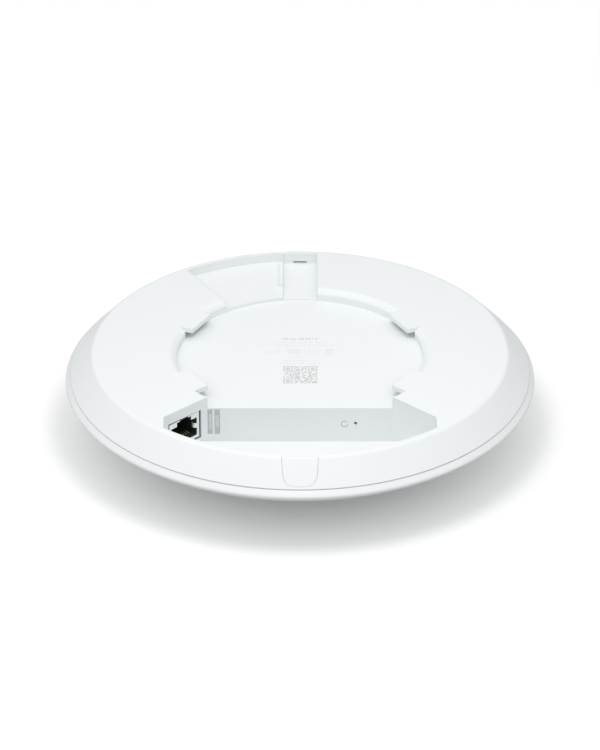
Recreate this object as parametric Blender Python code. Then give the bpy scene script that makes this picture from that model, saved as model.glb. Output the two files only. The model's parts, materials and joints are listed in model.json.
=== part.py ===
"""A ceiling-mounted wireless access point, modelled as the separate pieces it comes apart into.

Every number is in millimetres, and meshes are built in metres through MM.
The origin is the centre of the round seat that the ceiling bracket twists into.
+Z points up at the ceiling, so the domed front looks down, and -Y is the side where the cable leaves.
"""

import math

import bmesh
import bpy
from mathutils import Matrix, Vector

MM = 0.001
GAP = 0.3  # clearance kept between neighbouring pieces

# Casing heights. The bracket seat is at 0.
BACK_Z = 4.1
SEAM_Z = -3.65
LIP_Z = -4.25
COVER_FOOT_Z = -5.1
RIM_Z = -5.65
FRONT_Z = -28.9

# Casing radii
RIM_RADIUS = 80.0
SEAM_RADIUS = 78.25
SEAM_OVERHANG = 0.23  # the cover's edge stands out this far over the shadow gap below it
BACK_EDGE_RADIUS = 70.8
INNER_WALL_RADIUS = 68.8
COVER_WALL = 2.0
BACK_EDGE_ROUND = 2.0
DOME_WALL = 2.0
DOME_INNER_RADIUS = 76.9
DOME_FULLNESS = 1.57  # above 1, so that the dome meets its rim at a sharper edge than an ellipse would

# Bracket seat, its bayonet lugs and the recesses that meet it
SEAT_RADIUS = 42.0
LEAD_IN_RADIUS = 44.3
LEAD_IN_Z = 2.4
LEAD_IN_SLOPES = (15.0, 58.0)  # degrees at its top and bottom
SEAT_STEP_RADIUS = 45.0
SEAT_FLOOR = 2.0
LUG_ANGLE = 29.5
LUG_HALF_WIDTH = 9.0
LUG_CHORD = 38.95
LUG_UNDER_Z = 2.5
CHANNEL_LEFT = -5.9
CHANNEL_RIGHT = 6.1
CHANNEL_FAR_Y = 68.7
CHANNEL_Z = 0.3
LATCH_SLOT_HALF_WIDTH = 2.35
LATCH_SLOT_HEIGHT = 0.7
SWEEP_Z = 1.1
SWEEP_END_OUTER = (-39.4, 55.8)
SWEEP_END_INNER = (-26.6, 33.5)
RIDGE_WIDTH = 1.3
RIDGE_RAMP = 1.3
RIDGE_HEIGHT = 1.0
RIDGE_Y = (50.0, 66.0)

# Cable pocket
POCKET_FAR_Y = -32.6
POCKET_NEAR_Y = -60.8
POCKET_FAR_HALF = 31.4
POCKET_SIDE_X = 45.0
POCKET_SIDE_Y = -45.3
POCKET_CORNER = 2.5
POCKET_WALL = 1.6
POCKET_FLOOR_Z = -13.5
POCKET_FLOOR_FLAT = 52.0
POCKET_FLOOR_RISE = 0.3
POCKET_UNDER_Z = -15.1

# Cable exit tab: its outline lies on the casing's cone
TAB_TOP_HALF = 5.9
TAB_END_HALF = 5.25
TAB_LENGTH = 9.77
TAB_CORNER = 4.0
TAB_THICKNESS = 1.0
TAB_GAP = 0.15
TAB_LEDGE = 0.9
DUCT_HALF = 4.8
DUCT_Z = (-3.6, 2.0)

# RJ45 socket: its own frame has x along the pocket wall, y into the casing and z up
JACK_FACE = (-38.5, -38.75)
JACK_TURN = 45.0
JACK_WIDTH = 13.9
JACK_DEPTH = 18.0
JACK_SETBACK = 0.05
JACK_TOP_Z = -0.15
JACK_TOP_GAP = 0.4
JACK_BOTTOM_Z = -10.2
JACK_SHEET = 0.35
JACK_TOP_SHEET = 0.25
PLUG_HALF = 5.85
PLUG_BOTTOM_Z = -9.1
PLUG_TOP_Z = -2.3
LATCH_STEPS = ((3.25, -0.8), (1.9, 0.3))  # half width and top of each step above the plug
CAVITY_DEPTH = 12.5
CONTACT_COUNT = 8
CONTACT_PITCH = 1.02
CONTACT_SIZE = 0.4
CONTACT_LENGTH = 8.0
CONTACT_RISE = 22.0
CONTACT_PIVOT = (1.6, -8.4)

# Reset switch
RESET_X = 18.6
RESET_Z = -5.9
RESET_HOLE_RADIUS = 0.6
RESET_PLUNGER_RADIUS = 1.15
RESET_PLUNGER_Y = (-0.8, 1.6)  # its ends, from the front of the switch

# Inside
BOARD_TOP_Z = -10.5
BOARD_BOTTOM_Z = -12.1
BOARD_RADIUS = 65.2
SPREADER_TOP_Z = -15.1
SPREADER_BOTTOM_Z = -16.6
SPREADER_RADIUS = 53.0
SPREADER_WINDOW_RADIUS = 7.0
SCREW_POSITIONS = ((30.0, 34.0), (-30.0, 34.0), (33.0, -20.0), (-33.0, -20.0))
SCREW_RADIUS = 1.25
SCREW_TOP_Z = -4.2
BOSS_RADIUS = 3.2
ANTENNA_RADIUS = 34.0

ROUND_STEPS = 96
SMALL_STEPS = 20
SMOOTH_ANGLE = math.radians(35)


# Materials


def finish(name, colour, roughness, metallic=0.0):
    material = bpy.data.materials.new(name)
    material.use_nodes = True
    shader = material.node_tree.nodes["Principled BSDF"]
    shader.inputs["Base Color"].default_value = (*colour, 1.0)
    shader.inputs["Roughness"].default_value = roughness
    shader.inputs["Metallic"].default_value = metallic
    return material


def make_finishes():
    """Each piece's material name, colour, roughness and metallic value."""
    return {
        "cover": finish("cover_plastic", (0.87, 0.88, 0.88), 0.45),
        "dome": finish("dome_plastic", (0.89, 0.90, 0.90), 0.38),
        "tab": finish("tab_plastic", (0.87, 0.88, 0.88), 0.45),
        "board": finish("board_laminate", (0.02, 0.12, 0.06), 0.5),
        "aluminium": finish("spreader_aluminium", (0.75, 0.76, 0.77), 0.4, 1.0),
        "steel": finish("plated_steel", (0.72, 0.72, 0.72), 0.3, 1.0),
        "brass": finish("spacer_brass", (0.78, 0.62, 0.33), 0.35, 1.0),
        "chip": finish("chip_epoxy", (0.02, 0.02, 0.025), 0.6),
        "pad": finish("thermal_pad", (0.45, 0.55, 0.68), 0.8),
        "socket": finish("socket_plastic", (0.015, 0.02, 0.02), 0.45),
        "gold": finish("contact_gold", (0.95, 0.72, 0.32), 0.25, 1.0),
        "transformer": finish("transformer_case", (0.03, 0.03, 0.03), 0.5),
        "capacitor": finish("capacitor_can", (0.68, 0.69, 0.7), 0.35, 1.0),
        "ferrite": finish("ferrite", (0.1, 0.1, 0.1), 0.7),
        "button": finish("button_plastic", (0.08, 0.08, 0.08), 0.5),
        "cable": finish("cable_jacket", (0.05, 0.05, 0.05), 0.45),
        "lens": finish("light_guide_plastic", (0.85, 0.9, 0.93), 0.15),
        "led": finish("led_resin", (0.9, 0.9, 0.75), 0.3),
    }


# Outlines, all lists of (x, y)


def arc(radius, start, end, steps):
    """Points on a circle round the origin, from one angle to another in degrees."""
    angles = [math.radians(start + (end - start) * i / steps) for i in range(steps + 1)]
    return [(radius * math.cos(a), radius * math.sin(a)) for a in angles]


def circle(radius, steps=SMALL_STEPS):
    return arc(radius, 0, 360 - 360 / steps, steps - 1)


def rounded(corners, radii, steps=4):
    """The polygon with each corner turned into an arc of its own radius, where that is above 0."""
    outline = []
    for i, corner in enumerate(corners):
        here = Vector(corner)
        if radii[i] == 0:
            outline.append(tuple(here))
            continue
        back = (Vector(corners[i - 1]) - here).normalized()
        ahead = (Vector(corners[(i + 1) % len(corners)]) - here).normalized()
        half = back.angle(ahead) / 2
        centre = here + (back + ahead).normalized() * radii[i] / math.sin(half)
        first = (here + back * radii[i] / math.tan(half) - centre).normalized()
        last = (here + ahead * radii[i] / math.tan(half) - centre).normalized()
        for k in range(steps + 1):
            outline.append(tuple(centre + first.slerp(last, k / steps) * radii[i]))
    return outline


def rectangle(half_x, half_y, corner=0.0):
    corners = [(half_x, half_y), (-half_x, half_y), (-half_x, -half_y), (half_x, -half_y)]
    return rounded(corners, [corner] * 4)


def mirrored(outline):
    """A half outline that runs from the Y axis's +X side, with its mirror image added."""
    return outline + [(-x, y) for x, y in reversed(outline)]


# Solids, each closed and facing out


def add_object(name, mesh_data, material, location=(0, 0, 0), parent=None):
    """An object from a mesh in millimetres, placed at a location in millimetres."""
    bmesh.ops.recalc_face_normals(mesh_data, faces=mesh_data.faces)
    bmesh.ops.scale(mesh_data, vec=(MM, MM, MM), verts=mesh_data.verts)
    mesh = bpy.data.meshes.new(name)
    mesh_data.to_mesh(mesh)
    mesh_data.free()
    mesh.shade_smooth()
    mesh.set_sharp_from_angle(angle=SMOOTH_ANGLE)
    if material:
        mesh.materials.append(material)
    return add_copy(name, mesh, location, parent)


def add_copy(name, mesh, location=(0, 0, 0), parent=None):
    """Another object with the same mesh, placed at a location in millimetres."""
    copy = bpy.data.objects.new(name, mesh)
    copy.location = Vector(location) * MM
    copy.parent = parent
    bpy.context.scene.collection.objects.link(copy)
    return copy


def add_empty(name, location, turn=0.0):
    """A frame for other objects, at a location in millimetres and turned about Z in degrees."""
    empty = bpy.data.objects.new(name, None)
    empty.location = Vector(location) * MM
    empty.rotation_euler.z = math.radians(turn)
    bpy.context.scene.collection.objects.link(empty)
    return empty


def turned_mesh(profile, steps):
    """A closed (radius, z) profile spun about Z. Points at radius 0 become a single vertex."""
    mesh_data = bmesh.new()
    rings = []
    for radius, z in profile:
        count = steps if radius > 0 else 1
        angles = [2 * math.pi * k / steps for k in range(count)]
        ring = [mesh_data.verts.new((radius * math.cos(a), radius * math.sin(a), z)) for a in angles]
        rings.append(ring)
    for ring, following in zip(rings, rings[1:] + rings[:1]):
        if len(ring) == 1 and len(following) == 1:
            continue
        for k in range(steps):
            after = (k + 1) % steps
            quad = [ring[k % len(ring)], ring[after % len(ring)]]
            quad += [following[after % len(following)], following[k % len(following)]]
            mesh_data.faces.new(list(dict.fromkeys(quad)))
    return mesh_data


def turned(name, profile, material, steps=ROUND_STEPS, **place):
    return add_object(name, turned_mesh(profile, steps), material, **place)


def prism(name, outline, low, high, material=None, frame=None, **place):
    """An outline extruded from low to high along Z, or along the third axis of a frame."""
    mesh_data = bmesh.new()
    bottom = [mesh_data.verts.new((x, y, low)) for x, y in outline]
    top = [mesh_data.verts.new((x, y, high)) for x, y in outline]
    mesh_data.faces.new(bottom)
    mesh_data.faces.new(top)
    for i in range(len(outline)):
        mesh_data.faces.new((bottom[i - 1], bottom[i], top[i], top[i - 1]))
    if frame:
        bmesh.ops.transform(mesh_data, matrix=frame, verts=mesh_data.verts)
    return add_object(name, mesh_data, material, **place)


def block(name, low, high, material=None, **place):
    """A box between two corners."""
    outline = [(low[0], low[1]), (high[0], low[1]), (high[0], high[1]), (low[0], high[1])]
    return prism(name, outline, low[2], high[2], material, **place)


def frame_of(origin, first, second):
    """The matrix of a frame from its first two axes."""
    x_axis = Vector(first).normalized()
    y_axis = Vector(second).normalized()
    rotation = Matrix((x_axis, y_axis, x_axis.cross(y_axis))).transposed()
    return Matrix.Translation(origin) @ rotation.to_4x4()


ALONG_Y = frame_of((0, 0, 0), (1, 0, 0), (0, 0, 1))  # outline in x and z, extruded towards -Y


def combine(target, tool, operation):
    """Joins or cuts target with a tool, which is then only a guide."""
    modifier = target.modifiers.new(tool.name, "BOOLEAN")
    modifier.operation = operation
    modifier.solver = "EXACT"
    modifier.object = tool
    tool.hide_render = True
    tool.display_type = "WIRE"


def cut(target, *tools):
    for tool in tools:
        combine(target, tool, "DIFFERENCE")


def join(target, *tools):
    for tool in tools:
        combine(target, tool, "UNION")


def trim(target, tool):
    combine(target, tool, "INTERSECT")


# Casing


def cone_direction():
    """Unit (radius, z) vector down the cone between the back face's edge and the seam."""
    return Vector((SEAM_RADIUS - BACK_EDGE_RADIUS, SEAM_Z - BACK_Z)).normalized()


def cover_skin(depth):
    """The cover's outer (radius, z) line from the back face's edge to the seam, moved inwards by depth."""
    down = cone_direction()
    inwards = Vector((down.y, -down.x))
    slope = math.acos(down.x)
    centre = Vector((BACK_EDGE_RADIUS - BACK_EDGE_ROUND * math.tan(slope / 2), BACK_Z - BACK_EDGE_ROUND))
    radius = BACK_EDGE_ROUND - depth
    steps = 4
    line = []
    for k in range(steps + 1):
        turn = slope * k / steps
        line.append((centre.x + radius * math.sin(turn), centre.y + radius * math.cos(turn)))
    line.append(tuple(Vector((SEAM_RADIUS, SEAM_Z)) + inwards * depth))
    return line


def cover_shell(material):
    """The turned wall of the rear cover, before its recesses."""
    down = cone_direction()
    inner_top = (INNER_WALL_RADIUS + 1.15, BACK_Z - COVER_WALL)
    drop = (COVER_FOOT_Z - inner_top[1]) / down.y
    inner_foot = (inner_top[0] + down.x * drop, COVER_FOOT_Z)
    ring_inner = SEAT_STEP_RADIUS + 1.8
    profile = [(0, -SEAT_FLOOR), (0, BACK_Z)] + cover_skin(0.0)
    foot_radius = SEAM_RADIUS - SEAM_OVERHANG
    profile += [(SEAM_RADIUS, SEAM_Z - 0.2), (foot_radius, SEAM_Z - 0.3)]
    profile += [(foot_radius, COVER_FOOT_Z), inner_foot, inner_top]
    profile += [(ring_inner, BACK_Z - COVER_WALL), (ring_inner, -SEAT_FLOOR)]
    return turned("rear_cover", profile, material)


def pocket_outline(grow=0.0):
    """The cable pocket seen from above, grown outwards by a wall."""
    far_corner = Vector((POCKET_FAR_HALF, POCKET_FAR_Y))
    side_corner = Vector((POCKET_SIDE_X, POCKET_SIDE_Y))
    along = (side_corner - far_corner).normalized()
    normal = Vector((-along.y, along.x))
    far_x = far_corner.x + grow * (1 - normal.y) / normal.x
    side_y = side_corner.y + grow * (1 - normal.x) / normal.y
    reach = INNER_WALL_RADIUS + grow
    side_angle = -math.degrees(math.acos((POCKET_SIDE_X + grow) / reach))
    near_angle = math.degrees(math.asin((POCKET_NEAR_Y - grow) / reach))
    arc_points = arc(reach, side_angle, near_angle, 5)
    corners = [(far_x, POCKET_FAR_Y + grow), (POCKET_SIDE_X + grow, side_y)] + arc_points
    corner_radii = [POCKET_CORNER] + [0] * (2 * len(corners) - 2) + [POCKET_CORNER]
    return rounded(mirrored(corners), corner_radii)


def sweep_outline(inner_radius, grow=0.0):
    """The arc that the bracket's arm sweeps through beside the channel."""
    outer = INNER_WALL_RADIUS + grow
    start_x = CHANNEL_LEFT + 1
    start = math.degrees(math.acos(start_x / outer))
    end = math.degrees(math.atan2(SWEEP_END_OUTER[1], SWEEP_END_OUTER[0])) + grow
    inner_end = math.degrees(math.atan2(SWEEP_END_INNER[1], SWEEP_END_INNER[0])) + grow
    inner_start = math.degrees(math.acos(start_x / inner_radius))
    return arc(outer, start, end, 12) + arc(inner_radius, inner_end, inner_start, 12)


def tab_outline(grow=0.0):
    """The tab's U shape in (x, distance down the cone)."""
    top_half = TAB_TOP_HALF + grow
    end_half = TAB_END_HALF + grow
    end = TAB_LENGTH + grow
    corners = [(-top_half, -grow), (-end_half, end), (end_half, end), (top_half, -grow)]
    radius = TAB_CORNER + grow
    return rounded(corners, [0, radius, radius, 0], steps=6)


def tab_frame():
    """Origin at the back edge on the cable side, x across, y down the cone, z into the casing."""
    down = cone_direction()
    return frame_of((0, -BACK_EDGE_RADIUS, BACK_Z), (1, 0, 0), (0, -down.x, down.y))


def tab_skin(name, outer_depth, inner_depth, material=None):
    start = INNER_WALL_RADIUS - 4
    outer = [(start, BACK_Z - outer_depth)] + cover_skin(outer_depth)
    inner = [(start, BACK_Z - inner_depth)] + cover_skin(inner_depth)
    return turned(name, outer + inner[::-1], material)


def cover_envelope():
    """Everything the rear cover may fill: the walls round its recesses are trimmed to this."""
    rise_radius = 70.0
    rise_z = POCKET_UNDER_Z + (rise_radius - POCKET_FLOOR_FLAT) * (POCKET_FLOOR_RISE - 0.01)
    profile = [(0, BACK_Z - 0.4)] + cover_skin(0.4)
    profile += [(SEAM_RADIUS - 1.4, COVER_FOOT_Z), (rise_radius, rise_z)]
    profile += [(POCKET_FLOOR_FLAT, POCKET_UNDER_Z), (0, POCKET_UNDER_Z)]
    return turned("guide_cover_envelope", profile, None)


def cover_walls():
    """The walls that stand inside the cover: round the pocket, under the recesses, and the bosses."""
    top = BACK_Z - 1.0
    walls = prism("guide_pocket_walls", pocket_outline(POCKET_WALL), POCKET_UNDER_Z - 1, top)
    duct = block(
        "guide_duct_walls",
        (-DUCT_HALF - 1.5, -SEAM_RADIUS, DUCT_Z[0] - 1.5),
        (DUCT_HALF + 1.5, POCKET_NEAR_Y - 0.5, top),
    )
    channel = block(
        "guide_channel_walls",
        (CHANNEL_LEFT - 2, SEAT_RADIUS - 1, CHANNEL_Z - 2),
        (CHANNEL_RIGHT + 2, INNER_WALL_RADIUS + 1.4, top),
    )
    sweep = prism("guide_sweep_walls", sweep_outline(SEAT_RADIUS + 1, 1.6), SWEEP_Z - 1.8, top)
    join(walls, duct, channel, sweep)
    for i, (x, y) in enumerate(SCREW_POSITIONS):
        boss_top = top if math.hypot(x, y) > SEAT_STEP_RADIUS else -1.0
        foot = BOARD_TOP_Z + GAP
        join(walls, prism(f"guide_boss_{i + 1}", circle(BOSS_RADIUS), foot, boss_top, location=(x, y, 0)))
    trim(walls, cover_envelope())
    return walls


def lead_in():
    """The rounded (radius, z) edge that guides the bracket into its seat, from the bottom up."""
    bottom = Vector((SEAT_RADIUS, LEAD_IN_Z))
    top = Vector((LEAD_IN_RADIUS, BACK_Z))
    shallow, steep = (math.radians(angle) for angle in LEAD_IN_SLOPES)
    start = Vector((-math.sin(steep), math.cos(steep)))
    end = Vector((-math.sin(shallow), math.cos(shallow)))
    radius = (top - bottom).length / (end - start).length
    steps = 5
    line = []
    for k in range(steps + 1):
        angle = steep + (shallow - steep) * k / steps
        turn = Vector((-math.sin(angle), math.cos(angle)))
        line.append(tuple(bottom + (turn - start) * radius))
    return line


def seat_cutter():
    """The round bracket seat with its lead-in, leaving the bayonet lugs standing."""
    above = BACK_Z + 2
    profile = [(0, 0), (SEAT_RADIUS, 0)] + lead_in()
    profile += [(LEAD_IN_RADIUS + 3, above), (0, above)]
    cutter = turned("guide_seat", profile, None)
    for i, angle in enumerate(lug_angles()):
        cut(cutter, lug_block(f"guide_lug_{i + 1}", angle))
    return cutter


def lug_angles():
    return (LUG_ANGLE, 180 - LUG_ANGLE, 180 + LUG_ANGLE, -LUG_ANGLE)


def lug_block(name, angle):
    """What stays of the casing at a lug: a sector beyond a straight inner edge."""
    half = math.radians(LUG_HALF_WIDTH)
    outer = LEAD_IN_RADIUS + 6
    corners = [(LUG_CHORD, -LUG_CHORD * math.tan(half)), (outer, -outer * math.tan(half))]
    corners += [(x, -y) for x, y in reversed(corners)]
    turn = Matrix.Rotation(math.radians(angle), 4, "Z")
    return prism(name, corners, LUG_UNDER_Z, BACK_Z + 4, frame=turn)


def undercut_blocks():
    """The slots under the lugs, where the bracket's tabs slide in."""
    inner = SEAT_RADIUS - 4
    blocks = []
    for i, angle in enumerate(lug_angles()):
        start = angle - LUG_HALF_WIDTH - 0.4
        end = angle + LUG_HALF_WIDTH + 0.4
        outline = arc(SEAT_STEP_RADIUS, start, end, 4) + arc(inner, end, start, 2)
        blocks.append(prism(f"guide_undercut_{i + 1}", outline, 0, LUG_UNDER_Z))
    return blocks


def step_cutter():
    """The wider stretch of the seat between the two lugs on the cable side."""
    reach = LUG_ANGLE + LUG_HALF_WIDTH
    outline = arc(SEAT_STEP_RADIUS, -180 + reach, -reach, 24) + arc(SEAT_RADIUS - 3, -reach, -180 + reach, 24)
    return prism("guide_step", outline, 0, BACK_Z + 1)


def sweep_cutter():
    """The sweep arc, with a ramped ridge left standing that the bracket's arm clicks over."""
    cutter = prism("guide_sweep", sweep_outline(SEAT_RADIUS - 2), SWEEP_Z, BACK_Z + 1)
    ridge_left = CHANNEL_LEFT - RIDGE_WIDTH
    outline = [(ridge_left - RIDGE_RAMP, SWEEP_Z - 0.5), (CHANNEL_LEFT + 1, SWEEP_Z - 0.5)]
    outline += [(CHANNEL_LEFT + 1, SWEEP_Z + RIDGE_HEIGHT), (ridge_left, SWEEP_Z + RIDGE_HEIGHT)]
    cut(cutter, prism("guide_ridge", outline, -RIDGE_Y[1], -RIDGE_Y[0], frame=ALONG_Y))
    return cutter


def channel_cutter():
    low = (CHANNEL_LEFT, SEAT_RADIUS - 3, CHANNEL_Z)
    return block("guide_channel", low, (CHANNEL_RIGHT, CHANNEL_FAR_Y, BACK_Z + 1))


def latch_slot_cutter():
    return block(
        "guide_latch_slot",
        (-LATCH_SLOT_HALF_WIDTH, CHANNEL_FAR_Y - 1, CHANNEL_Z + 0.05),
        (LATCH_SLOT_HALF_WIDTH, CHANNEL_FAR_Y + 2.4, CHANNEL_Z + LATCH_SLOT_HEIGHT),
    )


def pocket_cutter():
    """The cable pocket, whose floor rises towards the rim with the dome below it."""
    cutter = prism("guide_pocket", pocket_outline(), POCKET_FLOOR_Z - 2, BACK_Z + 1)
    reach = 76.0
    reach_z = POCKET_FLOOR_Z + (reach - POCKET_FLOOR_FLAT) * POCKET_FLOOR_RISE
    profile = [(0, BACK_Z + 3), (0, POCKET_FLOOR_Z), (POCKET_FLOOR_FLAT, POCKET_FLOOR_Z)]
    profile += [(reach, reach_z), (reach, BACK_Z + 3)]
    trim(cutter, turned("guide_pocket_floor", profile, None))
    return cutter


def jack_window():
    """The socket's window in the pocket wall, and its room behind."""
    half = JACK_WIDTH / 2 + GAP
    turn = Matrix.Translation((*JACK_FACE, 0)) @ Matrix.Rotation(math.radians(JACK_TURN), 4, "Z")
    corners = [(-half, -4), (half, -4), (half, JACK_DEPTH + 1), (-half, JACK_DEPTH + 1)]
    return prism("guide_jack_window", corners, JACK_BOTTOM_Z - GAP, JACK_TOP_Z + JACK_TOP_GAP, frame=turn)


def reset_hole():
    outline = circle(RESET_HOLE_RADIUS, 12)
    around = Matrix.Translation((RESET_X, 0, RESET_Z)) @ ALONG_Y
    return prism("guide_reset_hole", outline, -POCKET_FAR_Y - 3, -POCKET_FAR_Y + 3, frame=around)


def tab_seat_cutters():
    """The tab's shallow seat, and the smaller cable exit through it into the pocket."""
    seat = tab_skin("guide_tab_seat", -1.5, TAB_THICKNESS + GAP)
    trim(seat, prism("guide_tab_seat_edge", tab_outline(TAB_GAP), -6, 6, frame=tab_frame()))
    hole = prism("guide_tab_exit", exit_outline(), -4, 5, frame=tab_frame())
    duct = block(
        "guide_duct",
        (-DUCT_HALF, -BACK_EDGE_RADIUS - 3, DUCT_Z[0]),
        (DUCT_HALF, POCKET_NEAR_Y + 3, DUCT_Z[1]),
    )
    return seat, hole, duct


def exit_outline():
    """The cable exit in (x, distance down the cone), a ledge's width inside the tab."""
    half = DUCT_HALF - 0.3
    top = 2.2
    end = TAB_LENGTH - TAB_LEDGE
    corner = TAB_CORNER - TAB_LEDGE
    return rounded([(half, top), (half, end), (-half, end), (-half, top)], [0, corner, corner, 0], steps=4)


def screw_holes(name, low, high):
    """Clearance holes for the four screws."""
    outline = circle(SCREW_RADIUS + GAP)
    places = enumerate(SCREW_POSITIONS)
    return [prism(f"{name}_{i + 1}", outline, low, high, location=(x, y, 0)) for i, (x, y) in places]


def make_rear_cover(finishes):
    cover = cover_shell(finishes["cover"])
    join(cover, cover_walls())
    cut(cover, seat_cutter(), step_cutter(), *undercut_blocks())
    cut(cover, channel_cutter(), sweep_cutter(), latch_slot_cutter())
    cut(cover, pocket_cutter(), jack_window(), reset_hole())
    cut(cover, *tab_seat_cutters(), *screw_holes("guide_boss_hole", BOARD_TOP_Z - 1, SCREW_TOP_Z + GAP))


def make_cable_exit_tab(finishes):
    tab = tab_skin("cable_exit_tab", 0.0, TAB_THICKNESS, finishes["tab"])
    trim(tab, prism("guide_tab_edge", tab_outline(), -6, 6, frame=tab_frame()))


def dome_line(radius, rim_z, front_z, steps=16):
    """(radius, z) points from the rim down to the middle of the dome."""
    line = []
    for k in range(steps + 1):
        turn = math.pi / 2 * (1 - k / steps)
        drop = (rim_z - front_z) * math.cos(turn) ** DOME_FULLNESS
        line.append((radius * math.sin(turn) if k < steps else 0.0, rim_z - drop))
    return line


def make_front_dome(finishes):
    lip_inner = SEAM_RADIUS - SEAM_OVERHANG + GAP
    ledge_z = COVER_FOOT_Z - GAP
    outer = [(lip_inner, LIP_Z), (lip_inner + 0.45, LIP_Z - 0.15), (RIM_RADIUS - 0.25, RIM_Z + 0.55)]
    outer += dome_line(RIM_RADIUS, RIM_Z, FRONT_Z)
    inner = dome_line(DOME_INNER_RADIUS, RIM_Z - 0.25, FRONT_Z + DOME_WALL)
    profile = outer + inner[::-1] + [(DOME_INNER_RADIUS, ledge_z), (lip_inner, ledge_z)]
    turned("front_dome", profile, finishes["dome"])


# Circuit board and what is fixed to it


def board_bite(name, low, high):
    """The space that the pocket takes out of the board and the spreader."""
    outline = pocket_outline(POCKET_WALL + 0.5)
    outline = [(x, y if y > POCKET_SIDE_Y - 1 else -90.0) for x, y in outline]
    return prism(name, outline, low, high)


def disc(name, radius, low, high, material):
    plate = prism(name, circle(radius, ROUND_STEPS), low, high, material)
    cut(plate, board_bite(f"guide_{name}_bite", low - 1, high + 1))
    cut(plate, *screw_holes(f"guide_{name}_hole", low - 1, high + 1))
    return plate


def make_board(finishes):
    disc("main_board", BOARD_RADIUS, BOARD_BOTTOM_Z, BOARD_TOP_Z, finishes["board"])


def make_heat_spreader(finishes):
    plate = disc("heat_spreader", SPREADER_RADIUS, SPREADER_BOTTOM_Z, SPREADER_TOP_Z, finishes["aluminium"])
    window = circle(SPREADER_WINDOW_RADIUS, 32)
    cut(plate, prism("guide_spreader_window", window, SPREADER_BOTTOM_Z - 1, SPREADER_TOP_Z + 1))


def make_screws(finishes):
    """Four screws from the front, through spreader, spacer and board into the cover's bosses."""
    head_top = SPREADER_BOTTOM_Z - GAP
    profile = [(0, SCREW_TOP_Z), (0, head_top - 0.6), (0.7, head_top - 0.6), (0.9, head_top - 1.6)]
    profile += [(2.1, head_top - 1.6), (2.5, head_top - 1.2), (2.5, head_top), (SCREW_RADIUS, head_top)]
    profile += [(SCREW_RADIUS, SCREW_TOP_Z - 0.6), (SCREW_RADIUS - 0.5, SCREW_TOP_Z)]
    first = turned("board_screw_1", profile, finishes["steel"], 16, location=(*SCREW_POSITIONS[0], 0))
    for i, (x, y) in enumerate(SCREW_POSITIONS[1:]):
        add_copy(f"board_screw_{i + 2}", first.data, (x, y, 0))


def make_spacers(finishes):
    low, high = SPREADER_TOP_Z + GAP, BOARD_BOTTOM_Z - GAP
    inner = SCREW_RADIUS + GAP
    profile = [(inner, low), (inner + 1.2, low), (inner + 1.2, high), (inner, high)]
    first = turned("board_spacer_1", profile, finishes["brass"], 12, location=(*SCREW_POSITIONS[0], 0))
    for i, (x, y) in enumerate(SCREW_POSITIONS[1:]):
        add_copy(f"board_spacer_{i + 2}", first.data, (x, y, 0))


def make_processor(finishes):
    low, high = BOARD_BOTTOM_Z - GAP - 1.4, BOARD_BOTTOM_Z - GAP
    place = {"location": (0, 22, 0)}
    prism("processor", rectangle(8, 8, 0.5), low, high, finishes["chip"], **place)
    pad = rectangle(7, 7, 0.5)
    prism("processor_thermal_pad", pad, SPREADER_TOP_Z + 0.1, low - 0.1, finishes["pad"], **place)


def make_radio(number, x, y, finishes):
    """A radio chip under its own sheet-metal shield can, on the front of the board."""
    top = BOARD_BOTTOM_Z - GAP
    low = top - 2.0
    sheet = 0.3
    place = {"location": (x, y, 0)}
    can = prism(f"radio_shield_{number}", rectangle(10, 8, 1.0), low, top, finishes["steel"], **place)
    hollow = rectangle(10 - sheet, 8 - sheet, 0.7)
    cut(can, prism(f"guide_shield_hollow_{number}", hollow, low + sheet, top + 1, **place))
    prism(f"radio_chip_{number}", rectangle(4.5, 4.5, 0.3), top - 1.1, top, finishes["chip"], **place)


def make_power_parts(finishes):
    """What stands on the back of the board: the tall parts sit under the back face's ring."""
    low = BOARD_TOP_Z + GAP
    magnetics = rectangle(8.5, 6.5, 0.4)
    prism("ethernet_transformer", magnetics, low, low + 6.0, finishes["transformer"], location=(-33, -6, 0))
    poe = rectangle(7.0, 6.0, 0.6)
    prism("power_transformer", poe, low, low + 7.0, finishes["transformer"], location=(26, 8, 0))
    coil = rectangle(5.0, 5.0, 1.2)
    prism("power_inductor", coil, low, low + 4.5, finishes["ferrite"], location=(6, 16, 0))
    can = [(0, low), (3.6, low), (4.0, low + 0.4), (4.0, low + 1.4), (3.75, low + 1.7), (4.0, low + 2.0)]
    can += [(4.0, low + 10.0), (3.7, low + 10.4), (0, low + 10.4)]
    first = turned("bulk_capacitor_1", can, finishes["capacitor"], 24, location=(54, 12, 0))
    add_copy("bulk_capacitor_2", first.data, (55, 2, 0))


def make_antennas(finishes):
    """Four bent-sheet antennas stand on the front of the spreader, one to each side."""
    foot = SPREADER_BOTTOM_Z - GAP
    sheet = 0.5
    outline = [(-6, foot - sheet), (-6, foot), (1, foot), (1, foot - 3.0), (7, foot - 3.0)]
    outline += [(7, foot - 3.0 - sheet), (1 - sheet, foot - 3.0 - sheet), (1 - sheet, foot - sheet)]
    first = prism("antenna_1", outline, -3, 3, finishes["steel"], frame=ALONG_Y)
    for i in range(4):
        turn = 45 + 90 * i
        x = ANTENNA_RADIUS * math.cos(math.radians(turn))
        y = ANTENNA_RADIUS * math.sin(math.radians(turn))
        aerial = first if i == 0 else add_copy(f"antenna_{i + 1}", first.data)
        aerial.location = Vector((x, y, 0)) * MM
        aerial.rotation_euler.z = math.radians(turn + 90)
        make_antenna_cable(i + 1, aerial.rotation_euler.z, aerial.location / MM, finishes)


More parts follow.
